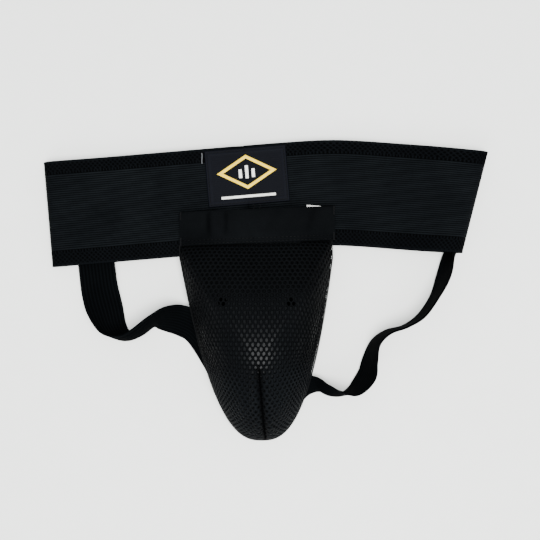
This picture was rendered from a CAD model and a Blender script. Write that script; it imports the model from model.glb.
"""The looks of a groin protector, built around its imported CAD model.

Lengths are in millimetres while a piece is shaped, and build() turns them into metres.
"""

import math

import bmesh
import bpy
import numpy as np
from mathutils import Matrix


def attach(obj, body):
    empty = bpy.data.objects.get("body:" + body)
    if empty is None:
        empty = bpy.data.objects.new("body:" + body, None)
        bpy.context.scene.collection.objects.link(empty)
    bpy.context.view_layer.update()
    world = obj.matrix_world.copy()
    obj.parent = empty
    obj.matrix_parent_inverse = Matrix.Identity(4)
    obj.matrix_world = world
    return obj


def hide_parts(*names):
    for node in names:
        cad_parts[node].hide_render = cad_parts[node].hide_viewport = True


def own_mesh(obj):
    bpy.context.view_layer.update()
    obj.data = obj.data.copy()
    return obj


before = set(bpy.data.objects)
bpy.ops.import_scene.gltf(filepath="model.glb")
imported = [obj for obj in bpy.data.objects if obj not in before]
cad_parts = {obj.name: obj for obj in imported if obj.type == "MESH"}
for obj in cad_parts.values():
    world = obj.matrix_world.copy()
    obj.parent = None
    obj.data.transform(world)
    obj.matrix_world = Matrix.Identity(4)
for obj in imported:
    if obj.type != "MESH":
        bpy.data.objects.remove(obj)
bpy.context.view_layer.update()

# The same numbers as in part.scad.
BAND_W, BAND_T, FRONT_Z, END_LEAN, FOLD_BLEND = 73.5, 1.8, 9.3, 10.5, 50
ARCH_X, ARCH_R, ARCH_SLOPE, ARCH_TOP_Y = 48, 18, 0.085, 67.8
BAND_LEFT, BAND_RIGHT, BACK_Z = -151.6, 146.1, 0.9
LEFT_R, RIGHT_R_LOW, RIGHT_R_HIGH, LEFT_RUN, RIGHT_RUN = 5.2, 10.5, 5.5, 40, 60
JOIN_X, LAP, LAP_DROP, LAP_RAMP = -12, 15, 1.9, 8
FRONT_TOP = FRONT_Z + BAND_T / 2

POUCH_TILT, POUCH_Z0 = 2.12, 9.385
TIP_Y, SHOULDER_Y, SIDE_POWER, AXIS_X, AXIS_SLOPE = -105.4, 21.6, 0.385, -2.2, -0.031
POUCH_HALF_W = 52.8
LINING_T, LINING_TOP_Y = 1, 56
APEX = np.array([-4.0, -45.0])
NET_Z, NET_GAP, NET_T, NET_SLACK = 1.05, 1, 1.2, 0.2
CUP_TOP_Y, CUP_INSET, CUP_ROUND_Y, CUP_WALL, CUP_HEIGHT = 40.5, 2.8, 8, 2.6, 38.5
TRIM_Z, TRIM_W, CUP_Z = 1.7, 5, 3.5
VENTS, VENT_Y, VENT_D = (-28, 17.5), -6.5, 6

HEM_MID, HEM_HALF, HEM_RISE, HEM_DEPTH, HEM_T, HEM_WALL = (-5.3, 44.3), 53.8, 2.1, 23.5, 3, 0.6
HEM_LOW, HEM_HIGH = 9, 6.5

LABEL_MID, LABEL_TURN, LABEL_T, LABEL_Z = (-12.5, 79.2), 4.8, 0.7, FRONT_TOP + 0.07
LABEL_L, LABEL_W, STITCH_INSET = 57, 39.5, 1.6
TAG_MID = (33.5, 52.5)

STRAP_T = 1.5
LEFT_STRAP = [
    (-121, 30, 2.7, 0, 26, 0), (-119, 14, 2.7, 0, 26, 0), (-117, 0, 3.4, 6, 26, -0.5),
    (-113, -13, 6.3, 24, 26, -1), (-107, -25, 10.5, 52, 25, -2.5), (-98, -30, 13, 86, 25, -5),
    (-88, -27, 12.7, 101, 24, -5), (-78, -21.5, 11.9, 112, 24, -2), (-70, -20, 8.8, 140, 24, 0),
    (-58, -22.5, 3.8, 168, 23, 0), (-46, -31, 2.6, 175, 22, 0), (-30, -56, 3.8, 180, 22, 0),
    (-13, -88, 5.2, 180, 22, 0),
]
RIGHT_STRAP = [
    (132, 44, 10.2, 90, 14, 6.1), (129, 32, 11, 92, 15, 6), (127, 21, 11, 103, 19.2, 3),
    (124, 9, 11.9, 102, 23, 1), (118, -5, 12.1, 93, 23.5, 0.5), (109, -18, 12.1, 91, 23.5, 0),
    (98, -25.5, 12.1, 88, 23.5, 0), (86, -29.5, 12, 91, 23, -0.5), (77.5, -37, 11.6, 98, 22.5, -1),
    (73.5, -49, 10.7, 111, 22, 0.5), (71, -60, 10.2, 118, 22, 1), (63, -69.5, 11, 106, 22, 0),
    (53.5, -71, 10.5, 80, 20, 3), (45, -69, 7, 64, 14, 5), (36, -67, 3.4, 28, 13, 2.5),
    (24, -69, 2.4, 6, 20, 0.5), (14, -77, 3, 0, 21, 0), (4, -92, 3.6, 0, 21, 0),
]


# ---- small maths ----


def mix(a, b, t):
    return a + (b - a) * t


def ease(t):
    """0 up to t = 0, 1 from t = 1, and a smooth step between."""
    t = np.clip(t, 0, 1)
    return t * t * (3 - 2 * t)


def bell(offset, width):
    return np.exp(-((offset / width) ** 2))


def unit(v):
    return v / np.maximum(np.linalg.norm(v, axis=-1, keepdims=True), 1e-9)


def turned(x, y, degrees):
    c, s = math.cos(math.radians(degrees)), math.sin(math.radians(degrees))
    return x * c - y * s, x * s + y * c


def on_pouch(points):
    """Points of the pouch's own frame, moved to the frame of the object."""
    y, z = turned(points[..., 1], points[..., 2], POUCH_TILT)
    return zipped(points[..., 0], y, z + POUCH_Z0)


def on_label(points):
    """Points of the label's own frame, moved to the frame of the object."""
    x, y = turned(points[..., 0], points[..., 1], LABEL_TURN)
    return zipped(x + LABEL_MID[0], y + LABEL_MID[1], points[..., 2])


def circle(n):
    return np.linspace(0, 2 * np.pi, n, endpoint=False)


def squared(wave, power):
    """A sine or cosine pushed towards 1 and -1, which turns a circle into a rounded box."""
    return np.sign(wave) * np.abs(wave) ** power


def zipped(*parts):
    """Arrays side by side along a new last axis, spread to one shape."""
    return np.stack(np.broadcast_arrays(*parts), -1)


def sampled(at, way, points):
    """Points at the distances at, on a broken line whose corners are at the distances way."""
    return np.stack([np.interp(at, way, points[:, k]) for k in range(points.shape[1])], -1)


def distances(points):
    """How far each point is along a broken line."""
    return np.concatenate([[0], np.cumsum(np.linalg.norm(np.diff(points, axis=0), axis=1))])


def wander(a, b, seed):
    """A smooth uneven value from -1 to 1 over two coordinates."""
    return (
        np.sin(a * 1.0 + 1.7 * np.sin(b * 0.6 + seed) + seed)
        + np.sin(b * 1.3 + 1.3 * np.sin(a * 0.7 - seed) + 2.1 * seed)
        + np.sin((a + b) * 0.55 + 3.7 * seed)
    ) / 3


def quads(rows, columns, wrap_rows=False, wrap_columns=False):
    i = np.arange(rows if wrap_rows else rows - 1)[:, None]
    j = np.arange(columns if wrap_columns else columns - 1)[None, :]
    i2, j2 = (i + 1) % rows, (j + 1) % columns
    faces = zipped(i * columns + j, i * columns + j2, i2 * columns + j2, i2 * columns + j)
    return faces.reshape(-1, 4)


def thick_sheet(top, faces, bottom):
    """A closed mesh: faces over the top points, the same below, and walls at every free edge."""
    top, bottom = top.reshape(-1, 3), bottom.reshape(-1, 3)
    n = len(top)
    edges = np.concatenate([faces[:, [k, (k + 1) % 4]] for k in range(4)])
    edges = edges[edges[:, 0] != edges[:, 1]]
    code = edges.min(1) * n + edges.max(1)
    _, first, count = np.unique(code, return_index=True, return_counts=True)
    free = edges[first[count == 1]]
    walls = np.stack([free[:, 1], free[:, 0], free[:, 0] + n, free[:, 1] + n], 1)
    return np.concatenate([top, bottom]), np.concatenate([faces, faces[:, ::-1] + n, walls])


def joined(parts):
    """One list of points and one of faces from several pairs."""
    points, faces, start = [], [], 0
    for p, f in parts:
        points.append(p)
        faces.append(f + start)
        start += len(p)
    return np.concatenate(points), np.concatenate(faces)


def build(node, shape, material, body="harness", ends=(), relief=None):
    """A piece from points and faces that stands for a CAD node and rides on its body.

    relief runs from 0 in the grooves of a surface to 1 on its crests, for the material's tone.
    """
    points, faces = shape
    corners = []
    for face in faces.tolist():
        kept = [v for k, v in enumerate(face) if v != face[k - 1]]
        if len(kept) > 2:
            corners.append(kept)
    corners += [[int(v) for v in end] for end in ends]
    mesh = bpy.data.meshes.new(node + "_made")
    mesh.from_pydata((points * 0.001).tolist(), [], corners)
    if relief is not None:
        values = np.clip(relief, 0, 1).astype(np.float32).ravel()
        mesh.attributes.new("relief", "FLOAT", "POINT").data.foreach_set("value", values)
    solid = bmesh.new()
    solid.from_mesh(mesh)
    bmesh.ops.delete(solid, geom=[v for v in solid.verts if not v.link_faces], context="VERTS")
    bmesh.ops.recalc_face_normals(solid, faces=solid.faces)
    solid.to_mesh(mesh)
    solid.free()
    mesh.shade_smooth()
    piece = bpy.data.objects.new(node + "_made", mesh)
    bpy.context.scene.collection.objects.link(piece)
    mesh.materials.append(material)
    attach(piece, body)
    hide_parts(node)
    return piece


def tube(path, radius, sides, twist=0.0, ply=0.0, up=(0, 0, 1)):
    """A cord along a path, with plies wound round it when ply is above 0."""
    run = unit(np.gradient(path, axis=0))
    side = unit(np.cross(run, up))
    out = np.cross(side, run)
    way = distances(path)
    angle = circle(sides)[None, :]
    r = radius * (1 + ply * np.abs(np.sin(angle - way[:, None] * twist)))
    points = (
        path[:, None, :]
        + side[:, None, :] * (r * np.cos(angle))[..., None]
        + out[:, None, :] * (r * np.sin(angle))[..., None]
    )
    n = len(path)
    faces = quads(n, sides, wrap_columns=True)
    first = np.array([(k - 1, k, sides - k, (sides - k + 1) % sides) for k in range(1, sides // 2)])
    last = first[:, ::-1] + (n - 1) * sides
    return points.reshape(-1, 3), np.concatenate([faces, first, last])


def stitches(places, runs, length, width, height, ups=(0, 0, 1)):
    """Short twisted thread ends, each a long rounded bead lying on the cloth."""
    ply = 0.16
    runs = np.broadcast_to(unit(np.asarray(runs, float)), places.shape)
    side = unit(np.cross(ups, runs))
    ups = np.cross(runs, side)
    rings, sides = 9, 8
    t = np.sin(np.linspace(-np.pi / 2, np.pi / 2, rings))[:, None]
    a = circle(sides)[None, :]
    r = np.maximum(1 - np.abs(t) ** 3.5, 0.02) ** 0.5 * (1 + ply * np.sin(2 * (a - 4 * t)))
    local = zipped(t * length / 2, r * np.cos(a) * width / 2, r * np.sin(a) * height / 2)
    local = local.reshape(-1, 3)
    points = (
        places[:, None, :]
        + runs[:, None, :] * local[None, :, :1]
        + side[:, None, :] * local[None, :, 1:2]
        + ups[:, None, :] * local[None, :, 2:3]
    )
    body = quads(rings, sides, wrap_columns=True)
    cap = np.array([(0, 1, 6, 7), (1, 2, 5, 6), (2, 3, 4, 5)])
    one = np.concatenate([body, cap, cap[:, ::-1] + (rings - 1) * sides])
    step = np.arange(len(places))[:, None, None] * len(local)
    return points.reshape(-1, 3), (one[None] + step).reshape(-1, 4)


# ---- materials ----


class Nodes:
    """Short calls for the nodes of one material."""

    def __init__(self, name):
        self.material = bpy.data.materials.new(name)
        self.material.use_nodes = True
        self.tree = self.material.node_tree
        self.shader = self.tree.nodes["Principled BSDF"]
        self.place = self.add("ShaderNodeTexCoord").outputs["Object"]

    def add(self, kind, **settings):
        node = self.tree.nodes.new(kind)
        for key, value in settings.items():
            setattr(node, key, value)
        return node

    def link(self, output, socket):
        self.tree.links.new(output, socket)

    def maths(self, operation, *values):
        node = self.add("ShaderNodeMath", operation=operation)
        for socket, value in zip(node.inputs, values):
            if isinstance(value, (int, float)):
                socket.default_value = value
            else:
                self.link(value, socket)
        return node.outputs[0]

    def noise(self, scale, detail):
        node = self.add("ShaderNodeTexNoise")
        node.inputs["Scale"].default_value = scale
        node.inputs["Detail"].default_value = detail
        self.link(self.place, node.inputs["Vector"])
        return node.outputs[0]

    def weave(self, pitch_x, pitch_y, diagonal=False):
        """Threads over and under each other, as a height from 0 to 1."""
        split = self.add("ShaderNodeSeparateXYZ")
        self.link(self.place, split.inputs[0])
        x, y = split.outputs[0], split.outputs[1]
        if diagonal:
            x, y = self.maths("ADD", x, y), self.maths("SUBTRACT", x, y)
        a = self.maths("SINE", self.maths("MULTIPLY", x, 2 * math.pi / pitch_x))
        b = self.maths("SINE", self.maths("MULTIPLY", y, 2 * math.pi / pitch_y))
        both = self.maths("MULTIPLY", a, b)
        return self.maths("ADD", self.maths("MULTIPLY", both, 0.5), 0.5)


def finish_of(name, dark, light, rough, specular, weave=None, weave_depth=0.0001, grain=900,
              patch=45, coat=0.0, coat_rough=0.1, relief=None):
    """A material: two tones of one colour, uneven roughness, thread relief and fine grain.

    Lengths of the weave are in metres. relief is what the tone is multiplied by in the grooves
    and on the crests of the mesh.
    """
    n = Nodes(name)
    speck, rough_spread = 0.35, 0.08
    fine, broad = n.noise(grain, 4.0), n.noise(patch, 3.0)
    tone = n.maths("ADD", n.maths("MULTIPLY", broad, 1 - speck), n.maths("MULTIPLY", fine, speck))
    if weave is not None:
        threads = n.weave(*weave)
        tone = n.maths("ADD", n.maths("MULTIPLY", tone, 0.6), n.maths("MULTIPLY", threads, 0.4))
    ramp = n.add("ShaderNodeValToRGB")
    ramp.color_ramp.elements[0].position = 0.3
    ramp.color_ramp.elements[0].color = (*dark, 1)
    ramp.color_ramp.elements[1].position = 0.7
    ramp.color_ramp.elements[1].color = (*light, 1)
    n.link(tone, ramp.inputs[0])
    colour = ramp.outputs[0]
    if relief is not None:
        crest = n.add("ShaderNodeMapRange")
        crest.inputs["To Min"].default_value, crest.inputs["To Max"].default_value = relief
        n.link(n.add("ShaderNodeAttribute", attribute_name="relief").outputs["Fac"], crest.inputs["Value"])
        scaled = n.add("ShaderNodeVectorMath", operation="SCALE")
        n.link(colour, scaled.inputs[0])
        n.link(crest.outputs[0], scaled.inputs["Scale"])
        colour = scaled.outputs[0]
    n.link(colour, n.shader.inputs["Base Color"])
    spread = n.add("ShaderNodeMapRange")
    spread.inputs["To Min"].default_value = rough - rough_spread
    spread.inputs["To Max"].default_value = rough + rough_spread
    n.link(fine, spread.inputs["Value"])
    n.link(spread.outputs[0], n.shader.inputs["Roughness"])
    n.shader.inputs["Specular IOR Level"].default_value = specular
    if coat:
        n.shader.inputs["Coat Weight"].default_value = coat
        n.shader.inputs["Coat Roughness"].default_value = coat_rough
    height = n.maths("MULTIPLY", fine, 0.35)
    if weave is not None:
        height = n.maths("ADD", height, n.maths("MULTIPLY", threads, 0.65))
    bump = n.add("ShaderNodeBump")
    bump.inputs["Strength"].default_value = 0.7
    bump.inputs["Distance"].default_value = weave_depth
    n.link(height, bump.inputs["Height"])
    n.link(bump.outputs[0], n.shader.inputs["Normal"])
    return n.material


ELASTIC = finish_of("ribbed_elastic", (0.0006, 0.0008, 0.0010), (0.0023, 0.0028, 0.0032), 0.7, 0.010,
                    weave=(0.0009, 0.00075), weave_depth=0.00012, relief=(0.0, 2.7))
BORDER = finish_of("border_knit", (0.0006, 0.0008, 0.0011), (0.0021, 0.0026, 0.0031), 0.75, 0.012,
                   weave=(0.0007, 0.0007, True), weave_depth=0.0001, relief=(0.05, 1.9))
WEBBING = finish_of("strap_elastic_cloth", (0.0005, 0.0007, 0.0009), (0.0016, 0.0020, 0.0023), 0.85, 0.01,
                    weave=(0.0008, 0.0008, True), weave_depth=0.00012, relief=(0.35, 1.3))
NET = finish_of("net_yarn", (0.0004, 0.0005, 0.0007), (0.0014, 0.0018, 0.0022), 0.75, 0.03,
                weave=(0.0005, 0.0005, True), weave_depth=0.0001, relief=(0.2, 2.6))
LINING = finish_of("lining_knit", (0.0009, 0.0011, 0.0013), (0.0026, 0.0030, 0.0033), 0.85, 0.03,
                   weave=(0.0008, 0.0011), weave_depth=0.00015)
BINDING = finish_of("binding_knit", (0.0010, 0.0012, 0.0014), (0.0027, 0.0031, 0.0035), 0.85, 0.01,
                    weave=(0.0007, 0.0009), weave_depth=0.00018, relief=(0.35, 1.1))
INNER_ELASTIC = finish_of("inner_elastic_cloth", (0.003, 0.0035, 0.004), (0.007, 0.0075, 0.0085), 0.7, 0.06,
                          weave=(0.0010, 0.0008), weave_depth=0.00015)
LABEL = finish_of("label_satin", (0.0008, 0.0010, 0.0020), (0.0020, 0.0025, 0.0042), 0.55, 0.03,
                  weave=(0.0005, 0.0004), weave_depth=0.00006, relief=(0.3, 1.2))
BLACK_THREAD = finish_of("black_thread_twist", (0.0004, 0.0005, 0.0007), (0.0015, 0.0018, 0.0022),
                         0.5, 0.05, grain=2500, weave_depth=0.00005)
SEAM_THREAD = finish_of("seam_thread_in_shadow", (0.0001, 0.0001, 0.0002), (0.0004, 0.0005, 0.0006),
                        0.9, 0.01, grain=2500, weave_depth=0.00005)
GREY_THREAD = finish_of("grey_thread_twist", (0.06, 0.063, 0.066), (0.14, 0.145, 0.15), 0.6, 0.2,
                        grain=2500, weave_depth=0.00005)
WHITE_THREAD = finish_of("white_thread_satin", (0.60, 0.60, 0.56), (0.86, 0.86, 0.82), 0.45, 0.3,
                         grain=2200, patch=300, weave_depth=0.00005)
YELLOW_THREAD = finish_of("yellow_thread_satin", (0.62, 0.40, 0.02), (0.86, 0.62, 0.04), 0.45, 0.3,
                          grain=2200, patch=300, weave_depth=0.00005)
TAG = finish_of("tag_cloth_satin", (0.66, 0.66, 0.62), (0.84, 0.84, 0.80), 0.55, 0.3,
                weave=(0.0004, 0.0004), weave_depth=0.00005)
PLASTIC = finish_of("cup_gloss_plastic", (0.003, 0.0037, 0.0043), (0.0056, 0.0064, 0.0072), 0.42, 0.06,
                    grain=700, patch=20, weave_depth=0.00009, coat=0.03, coat_rough=0.22)
RUBBER = finish_of("trim_soft_rubber", (0.005, 0.005, 0.006), (0.012, 0.012, 0.013), 0.6, 0.2,
                   grain=1500, weave_depth=0.00004)
FLOOR = finish_of("pale_floor", (0.80, 0.81, 0.78), (0.84, 0.85, 0.82), 0.85, 0.1,
                  grain=60, patch=2, weave_depth=0.00002)


# ---- waistband ----


def band_point(x, side, z):
    reach = np.sqrt((x - ARCH_X) ** 2 + ARCH_R ** 2)
    middle = ARCH_TOP_Y - ARCH_SLOPE * (reach - ARCH_R)
    lean = np.arctan(-ARCH_SLOPE * (x - ARCH_X) / reach)
    lean = lean - np.radians(END_LEAN) * ease((x - BAND_RIGHT + FOLD_BLEND) / FOLD_BLEND)
    half = side * BAND_W / 2
    return zipped(x - half * np.sin(lean), middle + half * np.cos(lean), z)


def front_left_z(x):
    under = FRONT_Z - LAP_DROP * ease((x - JOIN_X + LAP_RAMP) / LAP_RAMP)
    return under + (BACK_Z + 2 * LEFT_R - FRONT_Z) * ease(1 - (x - BAND_LEFT - LEFT_R) / LEFT_RUN)


def band_path(side):
    """The strip's middle line in x and z, from its under end round to its upper end."""
    r = RIGHT_R_LOW if side < 0 else RIGHT_R_HIGH
    left_x, right_x = BAND_LEFT + LEFT_R, BAND_RIGHT - r
    x1 = np.concatenate([np.linspace(JOIN_X + LAP, JOIN_X - LAP_RAMP, 7), np.linspace(-25, left_x + 4, 31)])
    a1 = np.radians(np.linspace(90, 270, 17))
    x2 = np.linspace(left_x, right_x, 64)[1:-1]
    a2 = np.radians(np.linspace(-90, 90, 19))
    x3 = np.linspace(right_x, JOIN_X, 40)[1:]
    z3 = FRONT_Z + (BACK_Z + 2 * r - FRONT_Z) * ease((x3 - BAND_RIGHT + r + RIGHT_RUN) / RIGHT_RUN)
    xs = [x1, left_x + LEFT_R * np.cos(a1), x2, right_x + r * np.cos(a2), x3]
    zs = [front_left_z(x1), BACK_Z + LEFT_R * (1 + np.sin(a1)), BACK_Z + 0 * x2,
          BACK_Z + r * (1 + np.sin(a2)), z3]
    return zipped(np.concatenate(xs), np.concatenate(zs))


def outward(path):
    run = unit(np.gradient(path, axis=0))
    return zipped(run[:, 1], -run[:, 0])


def finer(values, times):
    """The same broken line with more points on each of its straight pieces."""
    return sampled(np.arange((len(values) - 1) * times + 1) / times, np.arange(len(values)), values)


LOW, HIGH = band_path(-1), band_path(1)
LOW_OUT, HIGH_OUT = outward(LOW), outward(HIGH)
BORDER_TOP, BORDER_LOW, KNIT_PITCH, RIBS = 9.5, 11.0, 3.1, 35
RIB_PITCH = (BAND_W - BORDER_TOP - BORDER_LOW) / RIBS


def band_face(times, across, lift, direction):
    """A grid on the strip: across are distances up from its lower edge, lift the height there."""
    rims = []
    for path, out, side in ((LOW, LOW_OUT, -1), (HIGH, HIGH_OUT, 1)):
        p = path + out * direction * (BAND_T / 2 - 0.25)
        base = band_point(p[:, 0], side, p[:, 1])
        tip = band_point(p[:, 0] + out[:, 0] * direction, side, p[:, 1] + out[:, 1] * direction)
        rims.append((finer(base, times), finer(tip - base, times)))
    share = (np.asarray(across) / BAND_W)[None, :, None]
    base = mix(rims[0][0][:, None], rims[1][0][:, None], share)
    normal = unit(mix(rims[0][1][:, None], rims[1][1][:, None], share))
    way = distances(rims[0][0])
    height = lift(way[:, None], np.asarray(across)[None, :])
    return base + normal * height[..., None], height / 0.36


def no_lift(way, up):
    return 0 * way + 0 * up


def rib_lift(way, up):
    phase = (up - BORDER_LOW) / RIB_PITCH
    strength = 0.9 + 0.1 * np.sin(way * 0.21 + up * 0.9)
    return 0.36 * strength * np.abs(np.sin(np.pi * phase)) ** 0.8 + 0 * way


def knit_lift(way, up):
    """Open diamond knit between two plain edges; it sinks to nothing at the ribs."""
    a = np.cos(2 * np.pi * (way + up) / KNIT_PITCH)
    b = np.cos(2 * np.pi * (way - up) / KNIT_PITCH)
    diamonds = 0.36 * np.maximum(np.maximum(a, b), 0) ** 0.7 - 0.12
    edge = np.minimum(up, BAND_W - up)
    rib = np.where(up > BAND_W / 2, up - (BAND_W - BORDER_TOP), BORDER_LOW - up)
    plain = 0.22 + 0.1 * np.sin(2 * np.pi * way / 1.4)
    bars = 0.3 * np.maximum(np.sin(2 * np.pi * way / 2.1), 0) ** 0.5
    height = mix(plain, diamonds, ease((edge - 1.2) / 0.8))
    height = mix(bars, height, ease((rib - 1.4) / 0.5))
    return height * ease(rib / 0.35)


def waistband():
    # The borders have times as many rows of points as the ribs between them.
    times = 6
    low_columns = np.concatenate([np.linspace(0, BORDER_LOW - 0.5, 20), [BORDER_LOW]])
    ribs_end = BAND_W - BORDER_TOP
    high_columns = np.concatenate([[ribs_end], np.linspace(ribs_end + 0.5, BAND_W, 18)])
    middle = np.linspace(BORDER_LOW, ribs_end, RIBS * 4 + 1)[1:-1]
    parts, crests = [], []
    strips = ((low_columns, knit_lift, times), (middle, rib_lift, 1), (high_columns, knit_lift, times))
    for columns, lift, fine in strips:
        grid, crest = band_face(fine, columns, lift, 1)
        parts.append((grid.reshape(-1, 3), quads(*grid.shape[:2])))
        crests.append(crest.ravel())
    inner, _ = band_face(times, [0, 12, 37, 62, BAND_W], no_lift, -1)
    crests.append(np.full(inner.size // 3, 0.5))
    parts.append((inner.reshape(-1, 3), quads(*inner.shape[:2])[:, ::-1]))
    points, faces = joined(parts)
    sizes = [len(p) for p, _ in parts]
    start = np.concatenate([[0], np.cumsum(sizes)])
    rows = inner.shape[0]
    i = np.arange(rows - 1)

    def rim(outer_start, outer_n, outer_j, inner_j, flip):
        a, b = outer_start + i * outer_n + outer_j, outer_start + (i + 1) * outer_n + outer_j
        c, d = start[3] + (i + 1) * 5 + inner_j, start[3] + i * 5 + inner_j
        wall = np.stack([a, b, c, d], 1)
        return wall[:, ::-1] if flip else wall

    n_low, n_high = len(low_columns), len(high_columns)
    faces = np.concatenate([
        faces,
        rim(0, n_low, 0, 0, False),
        rim(start[2], n_high, n_high - 1, 4, True),
    ])
    # Where a border meets the ribs, one many-sided face joins a coarse row to its fine ones.
    coarse_rows, m = len(LOW), len(middle)
    ends = []
    for k in range(coarse_rows - 1):
        at = start[1] + k * m
        steps = np.arange(times + 1) + k * times
        ends.append([at, at + m, *(steps[::-1] * n_low + n_low - 1)])
        ends.append([at + m - 1, *(start[2] + steps * n_high), at + 2 * m - 1])
    for row, coarse in ((0, 0), (rows - 1, coarse_rows - 1)):
        outer = np.concatenate([
            row * n_low + np.arange(n_low),
            start[1] + coarse * m + np.arange(m),
            start[2] + row * n_high + np.arange(n_high),
        ])
        ring = [int(v) for v in outer] + [int(v) for v in start[3] + row * 5 + np.arange(5)[::-1]]
        ends.append(ring if row else ring[::-1])
    piece = build("waistband", (points, faces), ELASTIC, ends=ends, relief=np.concatenate(crests))
    piece.data.materials.append(BORDER)
    counts = [len(f) for _, f in parts[:3]]
    index = np.zeros(len(piece.data.polygons), np.int32)
    index[:sum(counts)] = np.repeat([1, 0, 1], counts)
    piece.data.polygons.foreach_set("material_index", index)
    return piece


band = waistband()


# ---- join stitching and label ----


def join_stitching():
    """A zigzag row down the end of the upper layer, under the label and below it."""
    sides = np.arange(-0.46, 0.95, 0.045)
    slant = np.where(np.arange(len(sides)) % 2 == 0, 1.0, -1.0)
    rows = [band_point(JOIN_X + row + 0 * sides, sides, FRONT_TOP + 0.02) for row in (4, 8)]
    runs = np.tile(zipped(0.8, slant, 0), (len(rows), 1))
    return stitches(np.concatenate(rows), runs, 2.6, 0.42, 0.16)


build("band_join_stitching", join_stitching(), BLACK_THREAD)


def label_top(x, y):
    """Height of the label's face: the end of the lapped layer shows through as a low ridge."""
    ridge = 0.22 * bell(x - 0.6, 1.1)
    return LABEL_Z + LABEL_T - 0.06 + ridge + 0.05 * wander(x * 0.16, y * 0.2, 1.0)


def label_patch():
    x = np.linspace(-1, 1, 115)[:, None] * LABEL_L / 2
    y = np.linspace(-1, 1, 80)[None, :] * LABEL_W / 2
    edge = np.minimum(LABEL_L / 2 - np.abs(x), LABEL_W / 2 - np.abs(y))
    folded = 0.12 * ease(1 - (edge - 3.2) / 0.6) - 0.30 * np.maximum(1 - edge / 0.7, 0) ** 2
    satin = 0.03 * np.sin(2 * np.pi * y / 1.5)
    row = -0.10 * bell(edge - STITCH_INSET, 0.4)
    top = zipped(x, y, label_top(x, y) - 0.08 + folded + satin + row)
    low = zipped(x * 0.998, y * 0.998, LABEL_Z)
    shape = thick_sheet(on_label(top), quads(*edge.shape), on_label(low))
    return shape, np.tile((0.7 + (folded + satin + row) / 0.3).ravel(), 2)


label_shape, label_crest = label_patch()
label = build("label_patch", label_shape, LABEL, relief=label_crest)


def satin(a0, a1, b0, b1):
    """Satin stitches between the edge a0-a1 and the edge b0-b1 of the label's plane."""
    pitch, rise = 0.55, 0.34
    a0, a1, b0, b1 = (np.array(v, float) for v in (a0, a1, b0, b1))
    length = max(np.linalg.norm(a1 - a0), np.linalg.norm(b1 - b0))
    n = max(int(length / pitch), 2)
    along = np.linspace(0, 1, n * 6 + 1)
    across = np.linspace(0, 1, 9)
    u, v = along[:, None, None], across[None, :, None]
    flat = mix(mix(a0, a1, u), mix(b0, b1, u), v)
    crown = np.sqrt(np.maximum(1 - (2 * across - 1) ** 2, 0))[None, :]
    thread = np.abs(np.sin(np.pi * n * along))[:, None] ** 0.6
    height = rise * crown * (0.55 + 0.45 * thread)
    z = label_top(flat[..., 0], flat[..., 1]) - 0.02 + height
    top = np.concatenate([flat, z[..., None]], -1)
    low = np.concatenate([flat, 0 * z[..., None] + LABEL_Z + 0.45], -1)
    return thick_sheet(on_label(top), quads(*z.shape), on_label(low))


def rhombus(half_x, half_y):
    return [(-half_x, 3), (0, 3 + half_y), (half_x, 3), (0, 3 - half_y)]


def emblem_frame():
    outer, inner = rhombus(21, 12), rhombus(16.5, 9.4)
    return joined([satin(outer[k], outer[k - 1], inner[k], inner[k - 1]) for k in (1, 2, 3, 0)])


def emblem_bars():
    bars = []
    for i in (-1, 0, 1):
        half = (9 - 3 * abs(i)) / 2
        low, high = 3 - abs(i) - half, 3 - abs(i) + half
        x0, x1 = 4.5 * i - 1.1, 4.5 * i + 1.1
        bars.append(satin((x1, low), (x1, high), (x0, low), (x0, high)))
    bars.append(satin((-19, -14.9), (19, -14.9), (-19, -13.1), (19, -13.1)))
    return joined(bars)


build("label_mark_yellow", emblem_frame(), YELLOW_THREAD)
build("label_mark_white", emblem_bars(), WHITE_THREAD)


def label_stitching():
    """Lockstitches along the four sides of the label."""
    xs = np.arange(-26, 26.1, 2.6)
    ys = np.arange(-15.6, 15.7, 2.6)
    places, runs = [], []
    for s in (-1, 1):
        places.append(zipped(xs, s * (LABEL_W / 2 - STITCH_INSET)))
        runs.append(np.tile([1.0, 0.0], (len(xs), 1)))
        places.append(zipped(s * (LABEL_L / 2 - STITCH_INSET), ys))
        runs.append(np.tile([0.0, 1.0], (len(ys), 1)))
    p, r = np.concatenate(places), np.concatenate(runs)
    z = label_top(p[:, 0], p[:, 1]) + 0.08
    x, y = turned(r[:, 0], r[:, 1], LABEL_TURN)
    return stitches(on_label(np.column_stack([p, z])), zipped(x, y, 0), 2.2, 0.5, 0.3)


build("label_stitching", label_stitching(), BLACK_THREAD)


def loose_thread():
    t = np.linspace(-1, 1, 60)
    x, y = turned(0.25 * np.sin(2.2 * t), 3.7 * t, LABEL_TURN)
    z = FRONT_TOP + 0.3 + 0.18 * (1 + t) * np.abs(t)
    path = zipped(x - 44, y + 91.5, z)
    return tube(path, 0.2, sides=12, twist=3.2, ply=0.35)


build("loose_thread", loose_thread(), GREY_THREAD)


# ---- pouch outline and dome ----


def pouch_axis(y):
    return AXIS_X + AXIS_SLOPE * (y - TIP_Y)


def pouch_half(y):
    return POUCH_HALF_W * np.clip((y - TIP_Y) / (SHOULDER_Y - TIP_Y), 0, 1) ** SIDE_POWER


def net_top_y(s):
    return HEM_MID[1] + s * HEM_RISE - HEM_DEPTH / 2 - 0.1


def hem_bottom(s, t):
    return NET_Z + mix(HEM_LOW, HEM_HIGH, (t + 1) / 2) * (1 - np.abs(s) ** 4)


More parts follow.
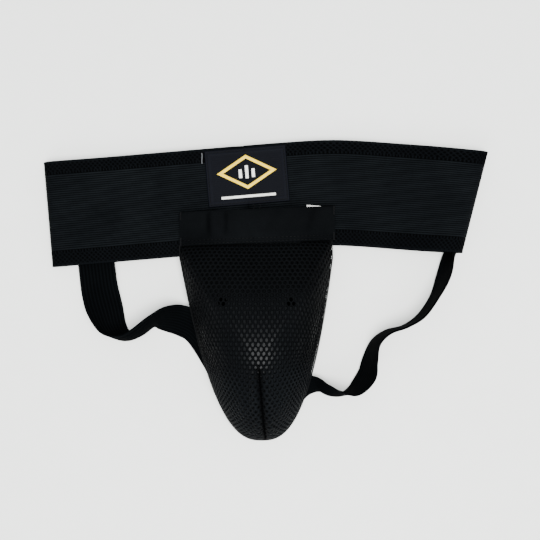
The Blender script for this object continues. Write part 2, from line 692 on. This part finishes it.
def pouch_rim(n=220):
    """The sides and tip of the pouch from the right of the mouth round to its left."""
    a = np.linspace(np.pi / 2, 0, n)
    right = mix(TIP_Y, net_top_y(1), 1 - np.cos(a))
    left = mix(TIP_Y, net_top_y(-1), 1 - np.cos(a[::-1][1:]))
    return np.concatenate([
        zipped(pouch_axis(right) + pouch_half(right), right),
        zipped(pouch_axis(left) - pouch_half(left), left),
    ])


class Outline:
    """A closed line round the top of the dome: its reach and its height by direction."""

    def __init__(self, points, heights):
        away = points - APEX
        angle = np.arctan2(away[:, 1], away[:, 0])
        order = np.argsort(angle)
        self.angle = angle[order]
        self.reach = np.hypot(away[:, 0], away[:, 1])[order]
        self.height = np.asarray(heights, float)[order]

    def at(self, angle):
        reach = np.interp(angle, self.angle, self.reach, period=2 * np.pi)
        height = np.interp(angle, self.angle, self.height, period=2 * np.pi)
        return reach, height


def dome(outline, angle, rho, top, inset, slack=0.0, sink=0.0):
    """A point of the dome in the pouch's frame: inset and sink draw it inwards."""
    reach, edge = outline.at(angle)
    m = ease((np.sin(angle) - 0.2) / 0.8)
    p, q = mix(2.2, 1.8, m), mix(0.6, 1.1 - slack, m)
    share = np.maximum(1 - rho ** p, 0) ** q
    edge = edge - sink * (edge > NET_Z + 0.01)
    r = (reach - inset) * rho
    x, y = APEX[0] + r * np.cos(angle), APEX[1] + r * np.sin(angle)
    return zipped(x, y, edge + (top - inset - edge) * share)


mouth_share = np.linspace(0, 1, 80)[1:-1]
rim = pouch_rim()
mouth_line = mix(rim[-1][None, :], rim[0][None, :], mouth_share[:, None])
NET_OUTLINE = Outline(
    np.concatenate([rim, mouth_line]),
    np.concatenate([np.full(len(rim), NET_Z), hem_bottom(2 * mouth_share - 1, -1)]),
)
NET_TOP = CUP_Z + CUP_HEIGHT + NET_GAP + NET_T
NET_PITCH, NET_HOLE, NET_YARN = (3.68, 3.0), (1.1, 1.45), 0.9
DART_FOOT = np.array([0.8, -106.3])


def dart_place(x, y):
    """Distance across and share along the line of the dart."""
    line = DART_FOOT - APEX
    length = np.linalg.norm(line)
    line = line / length
    dx, dy = x - APEX[0], y - APEX[1]
    return dx * line[1] - dy * line[0], (dx * line[0] + dy * line[1]) / length


def net_relief(points):
    """The net sinks along the dart, swells beside it and gathers into small pleats."""
    across, along = dart_place(points[:, 0], points[:, 1])
    inside = ease((along + 0.02) / 0.16) * ease((0.97 - along) / 0.12)
    away = np.abs(across)
    crease = -0.7 * bell(across, 1.3)
    swell = 1.7 * bell(away - 4.4, 2.7)
    pleats = 0.26 * np.sin(2 * np.pi * (along * 62 + 0.45 * away) / 4.3) * np.exp(-away / 7)
    radial = 0.10 * wander(points[:, 0] * 0.16, points[:, 1] * 0.12, 2.0)
    return (crease + swell + pleats * ease(away / 1.5)) * inside + radial


def net_plan(reach_at):
    """The net's cloth laid flat round the apex: six-sided cells, each with an oval hole.

    The first points are the corners of the cells, and the rest are the rims of the holes.
    """
    pitch_x, pitch_y = NET_PITCH
    hexagon = np.array([(0.5, 1), (0, 2), (-0.5, 1), (-0.5, -1), (0, -2), (0.5, -1)])
    hexagon = hexagon * [pitch_x, pitch_y / 3]
    ring = np.stack([mix(hexagon, np.roll(hexagon, -1, 0), t) for t in (0, 0.5)], 1).reshape(-1, 2)
    turn = np.arctan2(ring[:, 1] / pitch_y, ring[:, 0] / pitch_x)
    hole = zipped(NET_HOLE[0] * np.cos(turn), NET_HOLE[1] * np.sin(turn))

    cx, cy = np.meshgrid(np.arange(-40, 41), np.arange(-40, 60))
    cx = (cx + 0.5 * (cy % 2)) * pitch_x
    centres = zipped(cx.ravel(), (cy * pitch_y).ravel())
    limit = reach_at(np.arctan2(centres[:, 1], centres[:, 0]))
    centres = centres[np.hypot(centres[:, 0], centres[:, 1]) < limit - 0.2]

    across, along = dart_place(centres[:, 0] + APEX[0], centres[:, 1] + APEX[1])
    at_dart = 0.62 * bell(across, 5.5) * ease((along + 0.02) / 0.2)
    at_tip, at_mouth = 0.24 * ease((along + 0.1) / 0.35), 0.28 * ease((-0.62 - along) / 0.25)
    closing = np.maximum(at_dart, at_tip + at_mouth)
    corners = (centres[:, None] + ring[None]).reshape(-1, 2)
    holes = (centres[:, None] + hole[None] * (1 - closing)[:, None, None]).reshape(-1, 2)
    # Cells share their corners, which are at whole steps of 0.02 mm.
    code = np.round(corners * 50).astype(np.int64)
    code = code[:, 0] * 100000 + code[:, 1]
    _, first, index = np.unique(code, return_index=True, return_inverse=True)
    outer = index.reshape(-1, len(ring))
    inner = len(first) + np.arange(len(holes)).reshape(-1, len(ring))
    faces = zipped(outer, np.roll(outer, -1, 1), np.roll(inner, -1, 1), inner)
    return np.concatenate([corners[first], holes]), faces.reshape(-1, 4), len(first)


def pouch_net():
    """A knitted net with real holes, laid over the dome along its own length."""
    turns, rings = 360, 80
    angles = np.linspace(-np.pi, np.pi, turns + 1)
    steps = np.sin(np.linspace(0, np.pi / 2, rings + 1))
    grid = dome(NET_OUTLINE, angles[:, None], steps[None, :], NET_TOP, 0.0, NET_SLACK)
    lengths = np.cumsum(np.linalg.norm(np.diff(grid, axis=1), axis=2), axis=1)
    arcs = np.concatenate([np.zeros((turns + 1, 1)), lengths], 1)
    flat, faces, corners = net_plan(lambda angle: np.interp(angle, angles, arcs[:, -1]))

    # Each point keeps its distance from the apex, measured over the dome.
    angle = np.arctan2(flat[:, 1], flat[:, 0])
    length = np.hypot(flat[:, 0], flat[:, 1])
    row = (angle + np.pi) / (2 * np.pi) * turns
    k = np.clip(row.astype(int), 0, turns - 1)
    table = mix(arcs[k], arcs[k + 1], (row - k)[:, None])
    length = np.minimum(length, table[:, -1])
    j = np.clip((table < length[:, None]).sum(1), 1, rings)
    here = np.arange(len(flat))
    t = (length - table[here, j - 1]) / np.maximum(table[here, j] - table[here, j - 1], 1e-9)
    rho = mix(steps[j - 1], steps[j], np.clip(t, 0, 1))

    top = dome(NET_OUTLINE, angle, rho, NET_TOP, 0.0, NET_SLACK)
    low = dome(NET_OUTLINE, angle, rho, NET_TOP, NET_YARN, NET_SLACK, NET_YARN)
    out = unit(top - low)
    relief = net_relief(top)[:, None] * out
    is_corner = here < corners
    drop = np.where(is_corner, 0.0, 0.3)[:, None]
    top, low = top + relief - out * drop, low + relief + out * drop * 0.6
    top[:, 2], low[:, 2] = np.maximum(top[:, 2], NET_Z + 0.02), np.maximum(low[:, 2], NET_Z)

    across, along = dart_place(top[:, 0], top[:, 1])
    seam_shade = 1 - 0.95 * bell(across, 2.2) * ease((along + 0.03) / 0.1)
    stretched = 0.5 + 0.5 * ease((along + 0.1) / 0.35)
    crest = np.where(is_corner, stretched, 0.35 * (stretched - 0.5)) * seam_shade
    crest = np.concatenate([crest, np.full(len(flat), 0.1)])
    return thick_sheet(on_pouch(top), faces, on_pouch(low)), crest


net_shape, net_crest = pouch_net()
net = build("pouch_net", net_shape, NET, relief=net_crest)


def seam_path(n):
    """n points evenly along the edge of the pouch, a little outside it."""
    line = pouch_rim(n // 2)
    away = unit(line - APEX) * 0.6
    z = np.full(len(line), 0.9)
    points = np.column_stack([line + away, z])
    way = distances(points)
    return sampled(np.linspace(0, way[-1], n), way, points)


def edge_seam():
    """A corded edge with overlock loops wound round it."""
    path = seam_path(700)
    cord = tube(on_pouch(path), 0.42, sides=8)
    wide = seam_path(230)
    run = unit(np.gradient(wide, axis=0))
    inward = zipped(-run[:, 1], run[:, 0], 0)
    loops = unit(run * 0.55 - inward * 0.8)
    over = stitches(on_pouch(wide + [0, 0, 0.36]), loops, 1.7, 0.42, 0.36)
    under = stitches(on_pouch(wide - [0, 0, 0.36]), loops, 1.7, 0.42, 0.36)
    return joined([cord, over, under])


build("pouch_edge_seam", edge_seam(), BLACK_THREAD)


def dart_seam():
    """A fine cord in the crease with short stitches across it."""
    angle = math.atan2(DART_FOOT[1] - APEX[1], DART_FOOT[0] - APEX[0])
    rho = np.sin(np.radians(np.linspace(4, 84, 170)))
    line = dome(NET_OUTLINE, angle + 0 * rho, rho, NET_TOP, 0.0, NET_SLACK)
    low = dome(NET_OUTLINE, angle + 0 * rho, rho, NET_TOP, 1.0, NET_SLACK)
    out = unit(line - low)
    cord = tube(on_pouch(line - out * 0.25), 0.3, sides=8, twist=3.0, ply=0.25, up=(1, 0, 0))
    way = distances(line)
    at = np.arange(1.0, way[-1], 1.9)
    places, ups = sampled(at, way, line), sampled(at, way, out)
    return joined([cord, stitches(on_pouch(places), (1, 0.35, 0), 2.0, 0.42, 0.34, ups=ups)])


dart = build("pouch_dart_seam", dart_seam(), SEAM_THREAD)


def pouch_lining():
    """A knitted backing, ribbed on both faces."""
    rows, columns = 150, 110
    a = np.linspace(0, np.pi / 2, rows)
    s = np.linspace(-1, 1, columns)
    y = mix(TIP_Y + 0.3, LINING_TOP_Y - 1.5, (1 - np.cos(a)) ** 0.9)[:, None] + 0 * s[None, :]
    y = y + 1.5 * s[None, :] * ease((y - 30) / 25)
    x = pouch_axis(y) + s[None, :] * pouch_half(y) * 0.995
    knit = 0.05 * np.sin(2 * np.pi * x / 1.9) * np.sin(2 * np.pi * y / 2.3)
    top, low = zipped(x, y, LINING_T - 0.06 + knit), zipped(x, y, 0.08 - knit)
    return thick_sheet(on_pouch(top), quads(rows, columns)[:, ::-1], on_pouch(low))


lining = build("pouch_lining", pouch_lining(), LINING)


def lining_stitching():
    i = np.arange(-45, 46, 3.4)
    rows = [zipped(HEM_MID[0] + i, row + 0.04 * i, LINING_T + 0.06) for row in (36, 42)]
    return stitches(on_pouch(np.concatenate(rows)), (1, 0.04, 0), 2.8, 0.5, 0.22)


build("lining_stitching", lining_stitching(), BLACK_THREAD)


# ---- hem of the mouth ----

HEM_ROWS = (-0.9, -0.7)


def hem_point(s, t, lift):
    x = HEM_MID[0] + s * HEM_HALF
    y = HEM_MID[1] + s * HEM_RISE + t * HEM_DEPTH / 2
    return zipped(x, y, hem_bottom(s, t) + lift)


def hem_relief(s, t):
    """Two sewn rows, two soft creases at the left, and the swell of a folded knit."""
    x = HEM_MID[0] + s * HEM_HALF
    rows = sum(-0.34 * bell(t - row, 0.035) for row in HEM_ROWS)
    bend = 0.5 * np.sin(2.2 * t + 0.5)
    above = ease((t + 0.75) / 0.9)
    creases = -0.75 * bell(x + 38.3 + bend, 1.7) - 0.6 * bell(x + 27 - bend, 1.5)
    creases = creases * above - 0.3 * bell(x + 10 + 2 * t, 2.6) * (1 - above)
    puff = 0.35 * bell(x + 32.6, 3.6) * above + 0.38 * wander(x * 0.11, t * 1.5, 4.0)
    small = 0.14 * wander(x * 0.45, t * 2.6, 9.0) - 0.22 * bell(x - 31 - 3 * t, 2.0) * above
    knit = 0.05 * np.sin(2 * np.pi * t * HEM_DEPTH / 2 / 1.6)
    return rows + (creases + puff + small) * (1 - 0.6 * np.abs(t) ** 6) + knit


def hem_tube(s, half_t, base, top):
    """A flattened tube across the pouch: its sections have round lower and upper folds."""
    a = circle(96)
    t = squared(np.cos(a), 0.45) * half_t
    z = squared(np.sin(a), 0.55) * (top - base) / 2 + (top + base) / 2
    s2, t2 = np.meshgrid(s, t, indexing="ij")
    z2 = np.broadcast_to(z[None, :], s2.shape)
    upper = ease((z2 - (top + base) / 2) / ((top - base) / 2))
    raised = hem_relief(s2, t2) * upper
    return hem_point(s2, t2, z2 + raised), 0.8 + raised * 0.8


def mouth_binding():
    s = np.sin(np.linspace(-np.pi / 2, np.pi / 2, 190))
    s = np.sort(np.concatenate([s, np.linspace(-0.66, -0.36, 70)]))
    outer, crest = hem_tube(s, 1.0, 0.0, HEM_T)
    inner, _ = hem_tube(s, 0.94, HEM_WALL, HEM_T - HEM_WALL)
    rows, columns = outer.shape[:2]
    shell = quads(rows, columns, wrap_columns=True)[:, ::-1]
    n = rows * columns
    j = np.arange(columns)
    k = (j + 1) % columns
    first = np.stack([j, k, k + n, j + n], 1)
    last = first[:, ::-1] + (rows - 1) * columns
    faces = np.concatenate([shell, shell[:, ::-1] + n, first[:, ::-1], last[:, ::-1]])
    points = np.concatenate([outer.reshape(-1, 3), inner.reshape(-1, 3)])
    return (on_pouch(points), faces), np.tile(crest.ravel(), 2)


hem_shape, hem_crest = mouth_binding()
binding = build("mouth_binding", hem_shape, BINDING, relief=hem_crest)


def mouth_elastic():
    s = np.linspace(-0.97, 0.97, 160)
    t = np.linspace(-0.86, 0.86, 61)
    s2, t2 = np.meshgrid(s, t, indexing="ij")
    rib = 0.10 * np.cos(2 * np.pi * t2 * HEM_DEPTH / 2 / 1.35)
    top = hem_point(s2, t2, 1.75 + rib)
    low = hem_point(s2, t2, 1.2 - rib)
    return thick_sheet(on_pouch(top), quads(*s2.shape)[:, ::-1], on_pouch(low))


elastic = build("mouth_elastic", mouth_elastic(), INNER_ELASTIC)


def mouth_stitching():
    s = np.arange(-50, 51, 2.7) / HEM_HALF
    places, runs = [], []
    for row in HEM_ROWS:
        t = row + 0 * s
        places.append(hem_point(s, t, HEM_T + hem_relief(s, t) * 0.95 + 0.1))
        before, after = (hem_point(s + e, t, HEM_T + hem_relief(s + e, t)) for e in (-0.01, 0.01))
        runs.append(after - before)
    return stitches(on_pouch(np.concatenate(places)), np.concatenate(runs), 2.2, 0.5, 0.4)


sewing = build("mouth_stitching", mouth_stitching(), BLACK_THREAD)


def tack(place, run, length, width, height, up=(0, 0, 1)):
    """A bar tack: satin stitches side by side along its run."""
    n = 9
    run = unit(np.array(run, float))
    up = unit(np.array(up, float))
    side = unit(np.cross(up, run))
    at = np.linspace(-length / 2, length / 2, n)
    places = np.array(place, float) + at[:, None] * run
    slant = np.where(np.arange(n) % 2 == 0, 0.16, -0.16)[:, None]
    return stitches(places, side + run * slant, width, length / n * 1.35, height, ups=up)


def mouth_tacks():
    tacks = []
    for s in (-0.985, 0.985):
        for t in (-0.75, 0.75):
            p = hem_point(s, t, HEM_T + 0.35)
            tacks.append(tack(p, (0, 1, 0), 5, 1.6, 0.7))
    points, faces = joined(tacks)
    return on_pouch(points), faces


bar_tacks = build("mouth_tacks", mouth_tacks(), BLACK_THREAD)

# As the cup leaves, these pieces of the pouch sink towards the lining.
for folding in (net, dart, binding, elastic, sewing, bar_tacks):
    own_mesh(folding)


def care_tag():
    """A blank folded tag with a soft curl at its free end."""
    u, v = np.meshgrid(np.linspace(-5, 5, 40), np.linspace(-7.5, 6.1, 60), indexing="ij")
    curl = 0.5 * ease((v - 2) / 4) ** 2 + 0.05 * wander(u * 0.8, v * 0.5, 3.0)
    hem = 0.05 * ease((v - 5.2) / 0.3)
    x, y = turned(u, v, -5)
    z = LINING_T + 0.22 + curl + hem
    top = zipped(x + TAG_MID[0], y + TAG_MID[1], z + 0.12)
    low = zipped(x + TAG_MID[0], y + TAG_MID[1], z - 0.08)
    return thick_sheet(on_pouch(top), quads(*u.shape), on_pouch(low))


def care_tag_stitch():
    places = np.array([(TAG_MID[0] + x, TAG_MID[1] - 5.5, LINING_T + 0.4) for x in (-3.6, -1.2, 1.2, 3.6)])
    return stitches(on_pouch(places), (1, 0.04, 0), 1.9, 0.45, 0.22)


tag = build("care_tag", care_tag(), TAG)
build("care_tag_stitch", care_tag_stitch(), WHITE_THREAD)


# ---- leg straps ----


def curve(stations, steps):
    """A smooth curve through every station, with steps points between two of them."""
    s = np.array(stations, float)
    p = np.concatenate([[2 * s[0] - s[1]], s, [2 * s[-1] - s[-2]]])
    t = (np.arange(steps) / steps)[:, None]
    out = []
    for a, b, c, d in zip(p[:-3], p[1:-2], p[2:-1], p[3:]):
        square, cube = 2 * a - 5 * b + 4 * c - d, 3 * b - a - 3 * c + d
        out.append(0.5 * (2 * b + (c - a) * t + square * t * t + cube * t ** 3))
    return np.concatenate(out + [s[-1:]])


def strap(stations):
    """An elastic strip swept along its stations, ribbed on both faces with corded edges."""
    path = curve(stations, 9)
    middle = path[:, :3]
    run = unit(np.gradient(middle, axis=0))
    side = unit(np.cross(run, (0, 0, 1)))
    roll = np.radians(path[:, 3:4])
    across = np.cos(roll) * side + np.sin(roll) * np.cross(side, run)
    out = np.cross(across, run)
    t = np.linspace(-1, 1, 61)[None, :, None]
    half, bow = path[:, 4][:, None, None] / 2, path[:, 5][:, None, None]
    points = middle[:, None] + across[:, None] * half * t + out[:, None] * bow * (1 - t * t)
    slope = across[:, None] * half - out[:, None] * 2 * bow * t
    normal = unit(np.cross(slope, np.broadcast_to(run[:, None], points.shape)))
    ribs = 0.09 * np.cos(2 * np.pi * 11 * t / 2)
    cord = 0.10 * bell(np.abs(t) - 0.93, 0.035)
    edge = np.sqrt(np.maximum(1 - np.abs(t) ** 24, 0.05))
    thick = (STRAP_T / 2 - 0.12 + ribs + cord) * edge
    top, low = points + normal * thick, points - normal * thick
    length = np.linalg.norm(np.diff(middle, axis=0), axis=1).sum() * 0.001
    rows, columns = points.shape[:2]
    faces = quads(rows, columns)
    crest = np.broadcast_to(0.5 + (ribs + cord)[..., 0] / 0.2, (rows, columns)).ravel()
    shape = thick_sheet(top, faces[:, ::-1], low)
    return shape, float(length), np.tile(crest, 2)


left_shape, LEFT_LENGTH, left_crest = strap(LEFT_STRAP)
right_shape, RIGHT_LENGTH, right_crest = strap(RIGHT_STRAP)
left_strap = build("leg_strap_left", left_shape, WEBBING, relief=left_crest)
right_strap = build("leg_strap_right", right_shape, WEBBING, relief=right_crest)


def left_tacks():
    tacks = []
    for i in range(-2, 3):
        x, y = turned(i * 5.0, 0.0, 8)
        place = (x - 120.6, y + 27, 2.7 + STRAP_T / 2 + 0.12)
        tacks.append(tack(place, (math.sin(-0.14), math.cos(0.14), 0), 4.4, 1.5, 0.4))
    return joined(tacks)


def right_tacks():
    tacks = []
    for i in (-1, 0, 1):
        bulge = 6.5 * (1 - (i * 4 / 7.4) ** 2)
        place = (127.5 + bulge - STRAP_T / 2 - 0.45, 36, 11.4 + i * 4)
        tacks.append(tack(place, (0.26, 0.97, 0), 5, 1.3, 0.5, up=(-1, 0.27, 0)))
    return joined(tacks)


def tip_tacks():
    return joined([tack((x, -88, 3.6 - STRAP_T / 2 - 0.45), (0, 1, 0), 5, 1.5, 0.4) for x in (-1, 4, 9)])


build("strap_tacks_left", left_tacks(), BLACK_THREAD)
build("strap_tacks_right", right_tacks(), BLACK_THREAD)
build("strap_tip_tacks", tip_tacks(), BLACK_THREAD)


# ---- cup ----


def cup_rim():
    a = np.linspace(np.pi, 0, 240)
    y = mix(TIP_Y, CUP_TOP_Y, (1 - np.cos(a)) / 2)
    rounding = np.maximum(y - CUP_ROUND_Y, 0) / (CUP_TOP_Y - CUP_ROUND_Y)
    half = pouch_half(y) * np.sqrt(np.maximum(1 - rounding ** 4, 0))
    right = zipped(pouch_axis(y) + half, y)
    left = zipped(pouch_axis(y) - half, y)[::-1][1:-1]
    line = np.concatenate([right, left])
    return line - unit(line - APEX) * CUP_INSET


cup_line = cup_rim()
CUP_OUTLINE = Outline(cup_line, np.full(len(cup_line), CUP_Z))


def cup_face(inset):
    rings, around = 44, 144
    angle = np.linspace(-np.pi, np.pi, around, endpoint=False)[None, :]
    rho = np.sin(np.linspace(0, np.pi / 2, rings))[1:, None]
    grid = dome(CUP_OUTLINE, angle + 0 * rho, rho + 0 * angle, CUP_Z + CUP_HEIGHT, inset)
    grid[..., 2] += 0.05 * (inset > 0)
    top = np.array([[APEX[0], APEX[1], CUP_Z + CUP_HEIGHT - inset]])
    faces = quads(rings - 1, around, wrap_columns=True) + 1
    j = np.arange(around)
    fan = np.stack([np.zeros(around, int), np.zeros(around, int), 1 + j, 1 + (j + 1) % around], 1)
    return np.concatenate([top, grid.reshape(-1, 3)]), np.concatenate([fan, faces[:, ::-1]])


def cup_shell():
    """A glossy moulded shell with two round vents."""
    outer, faces = cup_face(0.0)
    inner, _ = cup_face(CUP_WALL)
    points, closed = thick_sheet(on_pouch(outer), faces, on_pouch(inner))
    piece = build("cup_shell", (points, closed), PLASTIC, body="cup")
    tilt = (math.radians(POUCH_TILT), 0, 0)
    for x in VENTS:
        centre = on_pouch(np.array([x, VENT_Y, 26.0])) * 0.001
        bpy.ops.mesh.primitive_cylinder_add(
            vertices=40, radius=VENT_D * 0.0005, depth=0.06, location=centre, rotation=tilt
        )
        cutter = bpy.context.object
        hole = piece.modifiers.new("vent", "BOOLEAN")
        hole.object, hole.operation, hole.solver = cutter, "DIFFERENCE", "EXACT"
        bpy.context.view_layer.objects.active = piece
        bpy.ops.object.modifier_apply(modifier=hole.name)
        bpy.data.objects.remove(cutter, do_unlink=True)
    rim = piece.modifiers.new("soft_rims", "BEVEL")
    rim.width, rim.segments, rim.limit_method, rim.angle_limit = 0.0004, 2, "ANGLE", math.radians(50)
    bpy.ops.object.modifier_apply(modifier=rim.name)
    piece.data.shade_smooth()
    return piece


cup = cup_shell()


def cup_edge_trim():
    """A soft strip under the rim with rounded edges and a shallow groove."""
    angle = np.linspace(-np.pi, np.pi, 288, endpoint=False)
    reach, _ = CUP_OUTLINE.at(angle)
    a = circle(24)
    w = squared(np.cos(a), 0.5) * TRIM_W / 2
    z = squared(np.sin(a), 0.5) * 0.9
    groove = 0.25 * bell(w, 0.7) * (z < 0)
    r = reach[:, None] - TRIM_W / 2 + w[None, :]
    x = APEX[0] + r * np.cos(angle)[:, None]
    y = APEX[1] + r * np.sin(angle)[:, None]
    points = zipped(x, y, TRIM_Z + 0.9 + z + groove)
    return on_pouch(points.reshape(-1, 3)), quads(288, 24, wrap_rows=True, wrap_columns=True)


build("cup_edge_trim", cup_edge_trim(), RUBBER, body="cup")


# ---- what each cloth is ----


# ---- floor, light and camera ----

bpy.ops.mesh.primitive_plane_add(size=6, location=(0, 0, -0.0003))
floor = bpy.context.object
floor.name = "floor"
floor.data.materials.append(FLOOR)


def area_light(name, place, aim, size, power):
    light = bpy.data.lights.new(name, "AREA")
    light.shape, light.size, light.energy = "DISK", size, power
    lamp = bpy.data.objects.new(name, light)
    bpy.context.scene.collection.objects.link(lamp)
    away = np.array(place, float) - np.array(aim, float)
    lamp.location = place
    tilt = math.acos(away[2] / np.linalg.norm(away))
    lamp.rotation_euler = (tilt, 0, math.atan2(away[1], away[0]) + math.pi / 2)


area_light("key", (0.16, -0.17, 1.5), (0.05, -0.06, 0), 1.0, 60)
area_light("fill", (-0.5, -1.3, 1.0), (0, 0, 0), 1.2, 14)

world = bpy.data.worlds.new("studio")
bpy.context.scene.world = world
world.use_nodes = True
world.node_tree.nodes["Background"].inputs["Color"].default_value = (0.94, 0.97, 1.0, 1)
world.node_tree.nodes["Background"].inputs["Strength"].default_value = 1.25

camera_data = bpy.data.cameras.new("camera")
camera_data.lens, camera_data.sensor_width = 51.5, 36
camera = bpy.data.objects.new("camera", camera_data)
bpy.context.scene.collection.objects.link(camera)
camera.location = (0.0035, 0.01365, 0.550)
bpy.context.scene.camera = camera
